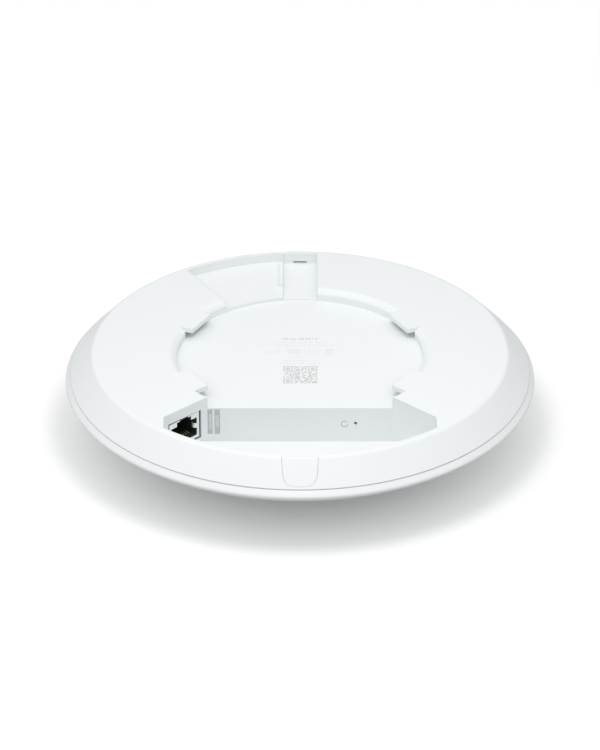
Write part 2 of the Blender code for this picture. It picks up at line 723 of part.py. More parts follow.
def make_antenna_cable(number, turn, place, finishes):
    """A thin coaxial cable along the spreader's front, from an antenna's foot to the middle window."""
    curve = bpy.data.curves.new(f"antenna_cable_{number}", "CURVE")
    curve.dimensions = "3D"
    curve.resolution_u = 5
    curve.bevel_depth = 0.6 * MM
    curve.bevel_resolution = 1
    curve.use_fill_caps = True
    curve.materials.append(finishes["cable"])
    level = SPREADER_BOTTOM_Z - 1.2
    bend = ANTENNA_RADIUS - 4.2
    points = [(-6.9, 0, level), (-5, 0.45 * bend, level), (-0.5, 0.8 * bend, level)]
    points += [(0, bend - 1.6, level + 0.3), (0, bend, level + 2.2), (0, bend, level + 4.2)]
    spline = curve.splines.new("BEZIER")
    spline.bezier_points.add(len(points) - 1)
    for point, where in zip(spline.bezier_points, points):
        point.co = Vector(where) * MM
        point.handle_left_type = "AUTO"
        point.handle_right_type = "AUTO"
    cable = bpy.data.objects.new(f"antenna_cable_{number}", curve)
    cable.location = Vector(place) * MM
    cable.rotation_euler.z = turn
    bpy.context.scene.collection.objects.link(cable)


def make_status_light(finishes):
    """A light-emitting diode on the board, and the flared guide that spreads its light in the dome."""
    top = BOARD_BOTTOM_Z - GAP
    prism("status_led", rectangle(1.6, 1.4, 0.2), top - 1.1, top, finishes["led"])
    reach = FRONT_Z + DOME_WALL + 0.6
    profile = [(0, top - 1.5), (2.2, top - 1.5), (2.2, reach + 3.5), (7.5, reach + 1.2), (7.5, reach + 0.3), (0, reach)]
    turned("light_guide", profile, finishes["lens"], 32)


# RJ45 socket


def plug_opening():
    """The plug's stepped outline in (x, z): the latch side is up."""
    right = [(PLUG_HALF, PLUG_BOTTOM_Z), (PLUG_HALF, PLUG_TOP_Z)]
    level = PLUG_TOP_Z
    for half, top in LATCH_STEPS:
        right += [(half, level), (half, top)]
        level = top
    return mirrored(right)


def make_jack(finishes):
    socket = add_empty("jack_frame", (*JACK_FACE, 0), JACK_TURN)
    half = JACK_WIDTH / 2
    shield = block(
        "rj45_shield",
        (-half, JACK_SETBACK, JACK_BOTTOM_Z),
        (half, JACK_DEPTH, JACK_TOP_Z),
        finishes["steel"],
        parent=socket,
    )
    hollow = block(
        "guide_shield_hollow",
        (-half + JACK_SHEET, JACK_SETBACK + JACK_SHEET, JACK_BOTTOM_Z + JACK_SHEET),
        (half - JACK_SHEET, JACK_DEPTH - JACK_SHEET, JACK_TOP_Z - JACK_TOP_SHEET),
        parent=socket,
    )
    opening = plug_opening()
    mouth = prism("guide_jack_mouth", opening, -2, 2, frame=ALONG_Y, parent=socket)
    cut(shield, hollow, mouth)
    inset = JACK_SHEET + GAP
    insert = block(
        "rj45_insert",
        (-half + inset, JACK_SETBACK + inset, JACK_BOTTOM_Z + inset),
        (half - inset, JACK_DEPTH - inset, JACK_TOP_Z - JACK_TOP_SHEET - GAP),
        finishes["socket"],
        parent=socket,
    )
    roof = PLUG_TOP_Z + 1.2  # the insert's own latch notch is shallower than the shield's
    low_opening = [(x, min(z, roof)) for x, z in opening]
    cut(insert, prism("guide_plug_cavity", low_opening, -CAVITY_DEPTH, 2, frame=ALONG_Y, parent=socket))
    make_contacts(socket, finishes)


def make_contacts(socket, finishes):
    """Eight spring contacts that pivot at the socket's lower front edge and slope up into it."""
    half = CONTACT_SIZE / 2
    slope = Matrix.Rotation(math.radians(CONTACT_RISE), 4, "X")
    outline = [(-half, 0.0), (half, 0.0), (half, CONTACT_LENGTH), (-half, CONTACT_LENGTH)]
    first = prism("rj45_contact_1", outline, -half, half, finishes["gold"], frame=slope, parent=socket)
    for i in range(CONTACT_COUNT):
        x = (i - (CONTACT_COUNT - 1) / 2) * CONTACT_PITCH
        contact = first if i == 0 else add_copy(f"rj45_contact_{i + 1}", first.data, parent=socket)
        contact.location = Vector((x, *CONTACT_PIVOT)) * MM


# Reset switch


def make_reset_switch(finishes):
    """A side-push switch behind the pinhole. Its plunger travels along +Y when a pin presses it."""
    front = POCKET_FAR_Y + POCKET_WALL + 1.2
    bore = RESET_PLUNGER_RADIUS + GAP
    body = block(
        "reset_switch",
        (RESET_X - 3.0, front, BOARD_TOP_Z + GAP),
        (RESET_X + 3.0, front + 3.8, RESET_Z + 2.4),
        finishes["chip"],
    )
    around = Matrix.Translation((RESET_X, 0, RESET_Z)) @ ALONG_Y
    cut(body, prism("guide_switch_bore", circle(bore), -front - 2.6, -front + 1, frame=around))
    plunger = add_empty("reset_button_axis", (RESET_X, front, RESET_Z))
    low, high = -RESET_PLUNGER_Y[1], -RESET_PLUNGER_Y[0]
    outline = circle(RESET_PLUNGER_RADIUS)
    prism("reset_button", outline, low, high, finishes["button"], frame=ALONG_Y, parent=plunger)


def clear_scene():
    for old in list(bpy.data.objects):
        bpy.data.objects.remove(old)


def main():
    clear_scene()
    finishes = make_finishes()
    make_rear_cover(finishes)
    make_cable_exit_tab(finishes)
    make_front_dome(finishes)
    make_board(finishes)
    make_heat_spreader(finishes)
    make_screws(finishes)
    make_spacers(finishes)
    make_processor(finishes)
    make_radio(1, 25, 12, finishes)
    make_radio(2, -25, 12, finishes)
    make_power_parts(finishes)
    make_antennas(finishes)
    make_status_light(finishes)
    make_jack(finishes)
    make_reset_switch(finishes)


main()
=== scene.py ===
import json
import math
import random

import bmesh
import bpy
from mathutils import Matrix, Vector

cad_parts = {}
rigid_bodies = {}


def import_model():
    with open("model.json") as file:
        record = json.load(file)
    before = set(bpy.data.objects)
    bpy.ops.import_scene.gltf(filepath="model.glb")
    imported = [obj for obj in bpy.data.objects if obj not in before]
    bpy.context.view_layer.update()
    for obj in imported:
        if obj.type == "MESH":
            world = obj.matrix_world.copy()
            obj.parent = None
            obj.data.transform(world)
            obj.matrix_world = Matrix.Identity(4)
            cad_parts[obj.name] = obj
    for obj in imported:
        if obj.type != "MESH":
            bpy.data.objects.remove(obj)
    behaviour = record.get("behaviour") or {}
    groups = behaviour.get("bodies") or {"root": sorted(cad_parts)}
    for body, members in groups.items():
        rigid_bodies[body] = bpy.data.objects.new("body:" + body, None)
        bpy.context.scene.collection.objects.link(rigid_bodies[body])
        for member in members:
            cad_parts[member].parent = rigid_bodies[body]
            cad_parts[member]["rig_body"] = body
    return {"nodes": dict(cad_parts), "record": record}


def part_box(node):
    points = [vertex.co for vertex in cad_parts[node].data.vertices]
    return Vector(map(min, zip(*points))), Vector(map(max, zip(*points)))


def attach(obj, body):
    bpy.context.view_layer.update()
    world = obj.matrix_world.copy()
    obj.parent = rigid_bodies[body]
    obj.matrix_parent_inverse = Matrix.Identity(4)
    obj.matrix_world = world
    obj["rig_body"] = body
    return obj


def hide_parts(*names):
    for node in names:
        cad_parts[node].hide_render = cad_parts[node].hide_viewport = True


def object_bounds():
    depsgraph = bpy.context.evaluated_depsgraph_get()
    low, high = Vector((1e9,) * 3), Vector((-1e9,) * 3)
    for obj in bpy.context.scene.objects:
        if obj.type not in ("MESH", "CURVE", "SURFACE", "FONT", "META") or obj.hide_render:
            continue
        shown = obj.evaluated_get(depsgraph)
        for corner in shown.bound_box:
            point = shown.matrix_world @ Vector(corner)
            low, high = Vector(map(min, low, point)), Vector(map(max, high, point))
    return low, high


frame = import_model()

MM = 0.001
CAD_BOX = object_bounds()
NODES = frame["nodes"]
JOINTS = {joint["name"]: joint for joint in frame["record"]["behaviour"]["joints"]}
SEAT = Vector(next(m for m in frame["record"]["mounts"] if m["name"] == "bracket_seat")["pos_m"]) / MM

# Sizes are in millimetres, and each place is a distance from a place that the frame gives.

# The dome's lip, as (outwards, up) from the CAD dome's widest radius and its top
LIP_START = (-1.94, 0.25)
LIP_CHAMFER = ((-1.68, 0.05), (-1.54, -0.02), (-0.34, -1.09))
LIP_EDGE = ((-0.16, -1.28), (-0.07, -1.45), (-0.03, -1.65))
LIP_TO_RIM = 1.9
LIP_DEPTH = 1.15
DOME_FULLNESS = 1.65
DOME_WALL = 3.1
DOME_INNER_RIM = 0.25  # how far the inner curve starts below the rim
DOME_FRONT_WALL = 2.0
DOME_OUTER_STEPS = 40
DOME_INNER_STEPS = 24
TURN_STEPS = 288

# How much the cable exit tab is grown, and how much more of that goes to its top than to its end
TAB_WIDER = 0.11
TAB_TOP_SHARE = 1.3

# Copies of CAD nodes: welding distance, and angles in degrees
WELD = 1e-3
FLAT_ANGLE = 0.6
BEVEL_ANGLE = 25

# What counts as a facet of a turned surface, and how sharp a profile corner is shaded round
FACET_SPAN = math.radians(5.5)
FACET_TILT = 0.05
FACET_SKEW = 0.06
ROUND_COSINE = math.cos(math.radians(20))

# Print on the seat's floor, from the seat's middle: lines as (left, right, y, height)
PRINT_HEIGHT = 0.02
PRINT_LIFT = 0.01
SMALL_LINES = (
    (-8.9, 8.9, 11.98, 0.55),
    (-13.9, 14.0, 9.89, 0.55),
    (-3.1, 2.3, 1.53, 0.55),
    (-5.8, 6.5, -0.53, 0.6),
    (-6.6, 6.6, -2.65, 0.7),
)
HEADING_LINE = (-5.9, 6.0, 14.35, 0.95)
WORD_LENGTH = (1.2, 3.6)
STROKE_WIDTH = (0.22, 0.5)
STROKE_HEIGHTS = (1.0, 0.72, 0.72)
STROKE_GAP = 0.16
WORD_GAP = 0.55
ICON_Y = 5.6
CODE_MIDDLE = (0.1, -10.3)
CODE_SIDE = 11.6
CODE_CELLS = 25
CODE_CORNER = 7  # cells along each framed corner
CODE_FILL = 0.48

# Marks on the pocket's far wall: x and z from the reset button, and boxes as (left, right)
WALL_TO_SWITCH = 2.8
LABEL_X = ((-49.5, -47.85), (-47.2, -45.35))
LABEL_Z = (-4.05, 5.4)
LABEL_STRIPS = 6
LABEL_LETTERS = ((4, -2.3), (3, -1.2))  # how many in each box, and how low the lowest is
LETTER_INSET = 0.33
LETTER_PITCH = 1.55
LETTER_SIZE = (1.1, 1.15)
LETTER_STROKE = 0.3
CORNER_START = -48.96  # the left box runs a little way round the pocket's rounded corner
CORNER_RADIUS = 2.5
RING_PLACE = (-3.6, -0.2)
RING_RADIUS = 1.25
RING_WIDTH = 0.26
RING_ARC = (40, 350)

# Socket details in its own frame, from the contacts' pivot line
FINGER_PLACE = (0.0, -1.6, 3.0)
FINGER_PATH = ((5.95, 0.1), (5.6, 0.2), (5.15, 0.5), (4.88, 0.9), (4.85, 1.25), (5.0, 1.6), (5.35, 1.9))
FINGER_HALF = 0.85
FINGER_SHEET = 0.2
# A dark ring set back in the gap round the shield is painted shade: a dark piece where the deep gap is only
# in shade
SHADE_COLLAR_Y = (-1.78, -0.6)
SHADE_COLLAR_INNER = (7.0, -1.85, 8.3)
SHADE_COLLAR_OUTER = (7.08, -1.98, 8.66)
SOCKET_BEVEL = 0.08
CONTACT_COUNT = 8
CONTACT_PITCH = 1.02
CONTACT_RADIUS = 0.19
CONTACT_PATH = ((0.1, 0.0), (0.3, 0.12), (2.0, 0.86), (4.0, 1.68), (6.0, 2.46), (6.9, 2.74), (7.3, 2.7))
WIRE_END = 0.55  # how thick a wire's last ring is, next to the rest

# Studio: each light is a lobe of the surroundings, as (direction, narrowness, strength)
LIGHTS = (
    ((0, 0, 1), 1.0, 0.78),
    ((0, -0.5, 0.87), 2.0, 0.52),
    ((-1, 0, 0), 1.0, 0.465),
    ((1, 0, 0), 1.0, 0.285),
)
LAMP_PLACE = (0, -0.12, 0.26)  # metres from the middle of the seat
LAMP_SIZE = 0.1
LAMP_WATTS = 0.17
FLOOR_HALF = 4.0
FLOOR_BOUNCE = 0.68
FLOOR_SEEN = 0.95
FLOOR_GLOW = 0.12

# Camera: tilt in degrees, and metres from the middle of the cover's back
CAMERA_TILT = 30.06
CAMERA_DISTANCE = 1.32
CAMERA_DROP = 0.00879
CAMERA_LENS = 186.05


# Materials


def add_node(tree, kind, **inputs):
    node = tree.nodes.new(kind)
    for name, value in inputs.items():
        node.inputs[name.replace("_", " ")].default_value = value
    return node


def shade(colour, factor):
    return (*(min(1.0, c * factor) for c in colour), 1.0)


def surface(name, colour, **look):
    """A Principled material whose colour, roughness and bump come from noise in the object's own space.

    spread and mottle are the colour variation and its size per metre. rough is the roughness range.
    grain and bump are the fine texture's size per metre and its height in metres. stretch draws the
    noise out into brushing. edge is the radius that edges are shaded with.
    """
    spread = look.get("spread", 0.02)
    material = bpy.data.materials.new(name)
    material.use_nodes = True
    tree = material.node_tree
    shader = tree.nodes["Principled BSDF"]
    place = tree.nodes.new("ShaderNodeTexCoord")
    mapping = add_node(tree, "ShaderNodeMapping", Scale=look.get("stretch", (1, 1, 1)))
    tree.links.new(place.outputs["Object"], mapping.inputs["Vector"])

    mottle = add_node(tree, "ShaderNodeTexNoise", Scale=look.get("mottle", 60.0), Detail=4.0, Roughness=0.6)
    tree.links.new(mapping.outputs["Vector"], mottle.inputs["Vector"])
    ramp = tree.nodes.new("ShaderNodeValToRGB")
    ramp.color_ramp.elements[0].position = 0.3
    ramp.color_ramp.elements[1].position = 0.7
    ramp.color_ramp.elements[0].color = shade(colour, 1 - spread)
    ramp.color_ramp.elements[1].color = shade(colour, 1 + spread)
    tree.links.new(mottle.outputs["Fac"], ramp.inputs["Fac"])
    tree.links.new(ramp.outputs["Color"], shader.inputs["Base Color"])

    low, high = look.get("rough", (0.4, 0.5))
    wear = add_node(tree, "ShaderNodeTexNoise", Scale=look.get("mottle", 60.0) * 5, Detail=3.0)
    tree.links.new(mapping.outputs["Vector"], wear.inputs["Vector"])
    spread_rough = tree.nodes.new("ShaderNodeMapRange")
    spread_rough.inputs["From Min"].default_value = 0.3
    spread_rough.inputs["From Max"].default_value = 0.7
    spread_rough.inputs["To Min"].default_value = low
    spread_rough.inputs["To Max"].default_value = high
    tree.links.new(wear.outputs["Fac"], spread_rough.inputs["Value"])
    tree.links.new(spread_rough.outputs["Result"], shader.inputs["Roughness"])

    grain = add_node(tree, "ShaderNodeTexNoise", Scale=look.get("grain", 3000.0), Detail=2.0)
    tree.links.new(mapping.outputs["Vector"], grain.inputs["Vector"])
    bump = add_node(tree, "ShaderNodeBump", Strength=1.0, Distance=look.get("bump", 4e-6))
    tree.links.new(grain.outputs["Fac"], bump.inputs["Height"])
    edge = look.get("edge", 0.25 * MM)
    if edge:
        soft_edge = tree.nodes.new("ShaderNodeBevel")
        soft_edge.samples = 6
        soft_edge.inputs["Radius"].default_value = edge
        tree.links.new(soft_edge.outputs["Normal"], bump.inputs["Normal"])
    tree.links.new(bump.outputs["Normal"], shader.inputs["Normal"])

    shader.inputs["Metallic"].default_value = look.get("metallic", 0.0)
    shader.inputs["Specular IOR Level"].default_value = look.get("specular", 0.5)
    shader.inputs["Transmission Weight"].default_value = look.get("transmission", 0.0)
    return material


def print_ink(name, colour, spread):
    return surface(name, colour, spread=spread, mottle=900.0, rough=(0.5, 0.6), edge=0.0)


def make_finishes():
    """One material for each of the record's material slots, and those of the marks printed on the casing."""
    return {
        "cover_plastic": surface(
            "cover_plastic", (0.845, 0.872, 0.878), spread=0.004, rough=(0.42, 0.5), specular=0.35
        ),
        "dome_plastic": surface(
            "dome_plastic", (0.815, 0.845, 0.852), spread=0.004, rough=(0.3, 0.36), bump=1e-6
        ),
        "board_laminate": surface(
            "board_laminate", (0.02, 0.13, 0.06), spread=0.2, mottle=900.0, rough=(0.3, 0.5)
        ),
        "spreader_aluminium": surface(
            "spreader_aluminium", (0.75, 0.76, 0.77), metallic=1.0, rough=(0.25, 0.45), stretch=(1, 12, 1)
        ),
        "plated_steel": surface(
            "plated_steel", (0.72, 0.72, 0.72), metallic=1.0, rough=(0.2, 0.38), stretch=(1, 1, 9)
        ),
        "socket_shield": surface(
            "socket_shield",
            (0.9, 0.9, 0.89),
            metallic=0.55,
            rough=(0.3, 0.45),
            stretch=(1, 1, 8),
            edge=0.08 * MM,
        ),
        "spacer_brass": surface(
            "spacer_brass", (0.78, 0.6, 0.3), metallic=1.0, rough=(0.22, 0.4), stretch=(1, 1, 20)
        ),
        "capacitor_aluminium": surface(
            "capacitor_aluminium", (0.68, 0.69, 0.7), metallic=1.0, rough=(0.2, 0.35)
        ),
        "chip_epoxy": surface(
            "chip_epoxy", (0.022, 0.022, 0.026), spread=0.3, mottle=4000.0, rough=(0.5, 0.7)
        ),
        "thermal_pad": surface(
            "thermal_pad", (0.45, 0.55, 0.68), spread=0.08, mottle=1500.0, rough=(0.7, 0.9), bump=2e-5
        ),
        "socket_plastic": surface(
            "socket_plastic", (0.026, 0.042, 0.036), spread=0.2, rough=(0.3, 0.5), edge=0.08 * MM
        ),
        "contact_gold": surface(
            "contact_gold", (0.2, 0.16, 0.1), spread=0.06, metallic=1.0, rough=(0.25, 0.4), edge=0.0
        ),
        "transformer_case": surface(
            "transformer_case", (0.03, 0.03, 0.032), spread=0.2, rough=(0.4, 0.6), bump=1e-5
        ),
        "ferrite": surface(
            "ferrite", (0.1, 0.1, 0.1), spread=0.25, mottle=2500.0, rough=(0.6, 0.8), bump=2e-5
        ),
        "button_plastic": surface(
            "button_plastic", (0.05, 0.05, 0.05), spread=0.1, rough=(0.4, 0.55), edge=0.1 * MM
        ),
        "cable_jacket": surface("cable_jacket", (0.04, 0.04, 0.04), spread=0.15, rough=(0.35, 0.5)),
        "light_guide_plastic": surface(
            "light_guide_plastic", (0.85, 0.9, 0.93), rough=(0.05, 0.15), transmission=0.9
        ),
        "led_resin": surface("led_resin", (0.9, 0.88, 0.6), spread=0.05, rough=(0.2, 0.3)),
        "mark_light": print_ink("mark_light", (0.60, 0.615, 0.61), 0.06),
        "mark_grey": print_ink("mark_grey", (0.42, 0.43, 0.43), 0.04),
        "mark_dark": print_ink("mark_dark", (0.53, 0.545, 0.55), 0.04),
        "mark_pale": print_ink("mark_pale", (0.78, 0.79, 0.79), 0.04),
    }


FINISHES = make_finishes()


# Mesh helpers, in millimetres


def add_piece(name, mesh_data, slot, body="casing", frame_matrix=None, smooth=30, finish=None):
    """A finished piece from a mesh in millimetres, riding on a CAD body."""
    if frame_matrix is not None:
        bmesh.ops.transform(mesh_data, matrix=frame_matrix, verts=mesh_data.verts)
    bmesh.ops.scale(mesh_data, vec=(MM, MM, MM), verts=mesh_data.verts)
    mesh = bpy.data.meshes.new(name)
    mesh_data.to_mesh(mesh)
    mesh_data.free()
    mesh.shade_smooth()
    mesh.set_sharp_from_angle(angle=math.radians(smooth))
    mesh.materials.append(FINISHES[finish or slot])
    piece = bpy.data.objects.new(name, mesh)
    bpy.context.scene.collection.objects.link(piece)
    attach(piece, body)
    return piece


def node_copy(name, slot, bevel=0.0, smooth=20, turned=False):
    """A welded copy of a CAD node with its flat faces whole again, so that it can be shaded smoothly."""
    source = NODES[name]
    mesh_data = bmesh.new()
    mesh_data.from_mesh(source.data)
    bmesh.ops.scale(mesh_data, vec=(1 / MM,) * 3, verts=mesh_data.verts)
    bmesh.ops.remove_doubles(mesh_data, verts=mesh_data.verts, dist=WELD)
    bmesh.ops.dissolve_limit(
        mesh_data, angle_limit=math.radians(FLAT_ANGLE), verts=mesh_data.verts, edges=mesh_data.edges
    )
    if bevel:
        sharp = [e for e in mesh_data.edges if e.calc_face_angle(0) > math.radians(BEVEL_ANGLE)]
        bmesh.ops.bevel(
            mesh_data, geom=sharp, offset=bevel, segments=2, profile=0.5, affect="EDGES", clamp_overlap=True
        )
    piece = add_piece(name + "_look", mesh_data, slot, source["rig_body"], smooth=smooth)
    if turned:
        turned_normals(piece)
    else:
        even_normals(piece)
    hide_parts(name)
    return piece


def even_normals(piece):
    """Keeps large flat faces flat where small rounded ones meet them."""
    weighted = piece.modifiers.new("even_normals", "WEIGHTED_NORMAL")
    weighted.keep_sharp = True
    weighted.mode = "FACE_AREA"
    weighted.weight = 100


def turned_parts(mesh, face):
    """A facet's normal as (radial, z) parts, or None where it isn't part of a surface turned about Z."""
    azimuth = math.atan2(face.center.y, face.center.x)
    radial = face.normal.x * math.cos(azimuth) + face.normal.y * math.sin(azimuth)
    across = face.normal.y * math.cos(azimuth) - face.normal.x * math.sin(azimuth)
    corners = [mesh.vertices[i].co for i in face.vertices]
    turns = [math.remainder(math.atan2(c.y, c.x) - azimuth, 2 * math.pi) for c in corners]
    wide = max(turns) - min(turns) > FACET_SPAN
    if wide or math.hypot(radial, across) < FACET_TILT or abs(across) > FACET_SKEW:
        return None
    return Vector((radial, face.normal.z)).normalized()


def turned_normals(piece):
    """Shades facets of surfaces turned about Z as round, and leaves every other face flat."""
    mesh = piece.data
    parts = {face.index: turned_parts(mesh, face) for face in mesh.polygons}
    around = {}
    for face in mesh.polygons:
        for corner in face.vertices:
            if parts[face.index]:
                around.setdefault(corner, []).append((parts[face.index], face.area))
    normals = []
    for face in mesh.polygons:
        for corner in face.vertices:
            own = parts[face.index]
            if not own:
                normals.append(tuple(face.normal))
                continue
            near = [part * area for part, area in around[corner] if part.dot(own) > ROUND_COSINE]
            mean = sum(near, Vector((0, 0))).normalized()
            place = mesh.vertices[corner].co.xy.normalized()
            normals.append((mean.x * place.x, mean.x * place.y, mean.y))
    mesh.normals_split_custom_set(normals)


def turned_mesh(profile, steps):
    """A closed (radius, z) profile spun about Z. Points at radius 0 become a single vertex."""
    mesh_data = bmesh.new()
    rings = []
    for radius, z in profile:
        count = steps if radius > 0 else 1
        angles = [2 * math.pi * k / steps for k in range(count)]
        rings.append([mesh_data.verts.new((radius * math.cos(a), radius * math.sin(a), z)) for a in angles])
    for ring, following in zip(rings, rings[1:] + rings[:1]):
        if len(ring) == 1 and len(following) == 1:
            continue
        for k in range(steps):
            after = (k + 1) % steps
            quad = [ring[k % len(ring)], ring[after % len(ring)]]
            quad += [following[after % len(following)], following[k % len(following)]]
            mesh_data.faces.new(list(dict.fromkeys(quad)))
    bmesh.ops.recalc_face_normals(mesh_data, faces=mesh_data.faces)
    return mesh_data


# Casing


def make_casing():
    node_copy("rear_cover", "cover_plastic", turned=True)
    make_dome()
    tab = node_copy("cable_exit_tab", "cover_plastic", turned=True)
    widen(tab, TAB_WIDER)


def widen(piece, extra):
    """Grows the tab at its sides and end, and more at its top, so that the line round it is finer."""
    out = Vector(JOINTS["exit_tab_release"]["axis"])
    down = Vector((0, -out.z, out.y))
    reach = max(v.co.x for v in piece.data.vertices)
    places = [v.co.dot(down) for v in piece.data.vertices]
    top, end = min(places), max(places)
    for vertex, place in zip(piece.data.vertices, places):
        along = (place - top) / (end - top)
        vertex.co.x *= 1 + extra * MM / reach
        vertex.co += down * MM * extra * (along - TAB_TOP_SHARE * (1 - along))


def make_dome():
    """The front dome again with a finer curve, and a chamfered lip that comes close to the cover's foot."""
    low, high = (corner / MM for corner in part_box("front_dome"))
    rim_z = high.z - LIP_TO_RIM
    inner_radius = high.x - DOME_WALL
    foot = high.z - LIP_DEPTH
    lip = [(high.x + out, high.z + up) for out, up in (LIP_START, *LIP_CHAMFER, *LIP_EDGE)]
    outer = dome_line(high.x, rim_z, low.z, DOME_OUTER_STEPS)
    inner = dome_line(inner_radius, rim_z - DOME_INNER_RIM, low.z + DOME_FRONT_WALL, DOME_INNER_STEPS)
    profile = lip + outer + inner[::-1] + [(inner_radius, foot), (high.x + LIP_START[0], foot)]
    dome = add_piece("front_dome_look", turned_mesh(profile, TURN_STEPS), "dome_plastic")
    even_normals(dome)
    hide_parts("front_dome")


def dome_line(radius, rim_z, front_z, steps):
    """(radius, z) points from the rim down to the middle of the dome."""
    line = []
    for k in range(steps + 1):
        turn = math.pi / 2 * (1 - k / steps)
        drop = (rim_z - front_z) * math.cos(turn) ** DOME_FULLNESS
        line.append((radius * math.sin(turn) if k < steps else 0.0, rim_z - drop))
    return line


# Marks printed on the casing: generic bars, blocks and rings


def flat_shape(mesh_data, outline, level=0.0):
    """A thin raised patch of print, from an outline in its own plane."""
    low = [mesh_data.verts.new((x, y, level)) for x, y in outline]
    high = [mesh_data.verts.new((x, y, level + PRINT_HEIGHT)) for x, y in outline]
    mesh_data.faces.new(high)
    mesh_data.faces.new(low[::-1])
    for i in range(len(outline)):
        mesh_data.faces.new((low[i - 1], low[i], high[i], high[i - 1]))


def bar(mesh_data, x, y, width, height, **place):
    flat_shape(mesh_data, [(x, y), (x + width, y), (x + width, y + height), (x, y + height)], **place)


def ring(mesh_data, x, y, radius, width, start=0, end=360, steps=24):
    """An arc of print, as short flat segments."""
    for i in range(steps):
        a = math.radians(start + (end - start) * i / steps)
        b = math.radians(start + (end - start) * (i + 1) / steps)
        inner, outer = radius - width, radius
        flat_shape(
            mesh_data,
            [
                (x + inner * math.cos(a), y + inner * math.sin(a)),
                (x + outer * math.cos(a), y + outer * math.sin(a)),
                (x + outer * math.cos(b), y + outer * math.sin(b)),
                (x + inner * math.cos(b), y + inner * math.sin(b)),
            ],
        )


def word_line(mesh_data, rng, left, right, y, height):
    """A line of stand-in lettering: short strokes grouped like words."""
    x = left
    while x < right:
        word = rng.uniform(*WORD_LENGTH)
        stop = min(x + word, right)
        while x < stop - 0.2:
            stroke = rng.uniform(*STROKE_WIDTH)
            tall = height * rng.choice(STROKE_HEIGHTS)
            bar(mesh_data, x, y - height / 2, min(stroke, stop - x), tall)
            x += stroke + STROKE_GAP
        x += WORD_GAP


def code_square(mesh_data, rng):
    """A square of random blocks with three framed corners, like a printed code but standing for nothing."""
    cell = CODE_SIDE / CODE_CELLS
    low_x, low_y = (middle - CODE_SIDE / 2 for middle in CODE_MIDDLE)
    last = CODE_CELLS - CODE_CORNER
    corners = ((0, 0), (0, last), (last, last))
    for column in range(CODE_CELLS):
        for row in range(CODE_CELLS):
            steps = [(column - c, row - r) for c, r in corners]
            inside = [step for step in steps if 0 <= min(step) and max(step) < CODE_CORNER]
            near = [step for step in steps if -1 <= min(step) and max(step) <= CODE_CORNER]
            if inside:
                c, r = inside[0]
                filled = min(c, r, CODE_CORNER - 1 - c, CODE_CORNER - 1 - r) != 1
            else:
                filled = not near and rng.random() < CODE_FILL
            if filled:
                bar(mesh_data, low_x + column * cell, low_y + row * cell, cell, cell)


def frame_outline(mesh_data, left, right, low, high, line=0.22):
    """An empty rectangle of print."""
    bar(mesh_data, left, low, right - left, line)
    bar(mesh_data, left, high - line, right - left, line)
    bar(mesh_data, left, low + line, line, high - low - 2 * line)
    bar(mesh_data, right - line, low + line, line, high - low - 2 * line)


def make_icons(mesh_data):
    """A row of plain signs: two rings, three boxes with lines in them, two uprights and a small bin shape."""
    ring(mesh_data, -10.9, ICON_Y, 1.3, 0.24)
    ring(mesh_data, -7.8, ICON_Y, 1.0, 0.24)
    for left in (-4.5, -2.9, -1.3):
        frame_outline(mesh_data, left, left + 1.3, ICON_Y - 1.7, ICON_Y + 1.7)
        for k in range(4):
            bar(mesh_data, left + 0.35, ICON_Y - 1.1 + k * 0.62, 0.6, 0.24)
    for x in (1.4, 3.0):
        bar(mesh_data, x, ICON_Y - 2.0, 0.22, 4.0)
    frame_outline(mesh_data, 4.1, 5.5, ICON_Y - 1.0, ICON_Y + 1.0)
    frame_outline(mesh_data, 8.8, 11.0, ICON_Y - 1.5, ICON_Y + 1.1)
    bar(mesh_data, 8.4, ICON_Y + 1.25, 3.0, 0.35)
    bar(mesh_data, 8.6, ICON_Y - 2.2, 2.6, 0.4)
    for x in (9.4, 9.85, 10.3):
        bar(mesh_data, x, ICON_Y - 1.1, 0.2, 1.8)


def make_seat_print():
    rng = random.Random(7)
    seat = Matrix.Translation(SEAT)
    pale = bmesh.new()
    for line in SMALL_LINES:
        word_line(pale, rng, *line)
    make_icons(pale)
    lifted = Matrix.Translation(SEAT + Vector((0, 0, PRINT_LIFT)))
    add_piece("seat_print", pale, "cover_plastic", frame_matrix=lifted, smooth=1, finish="mark_pale")
    dark = bmesh.new()
    word_line(dark, rng, *HEADING_LINE)
    code_square(dark, rng)
    add_piece("seat_code", dark, "cover_plastic", frame_matrix=seat, smooth=1, finish="mark_light")


def false_letter(mesh_data, rng, x, z):
    """A block of strokes as big as a letter, which stands for none."""
    line = LETTER_STROKE
    wide, tall = LETTER_SIZE
    upright = x + rng.choice((0.0, 0.5, 1.0)) * (wide - line)
    bar(mesh_data, x, z, wide, line, level=PRINT_HEIGHT)
    bar(mesh_data, x, z + tall - line, wide, line, level=PRINT_HEIGHT)
    bar(mesh_data, upright, z + line, line, tall - 2 * line, level=PRINT_HEIGHT)


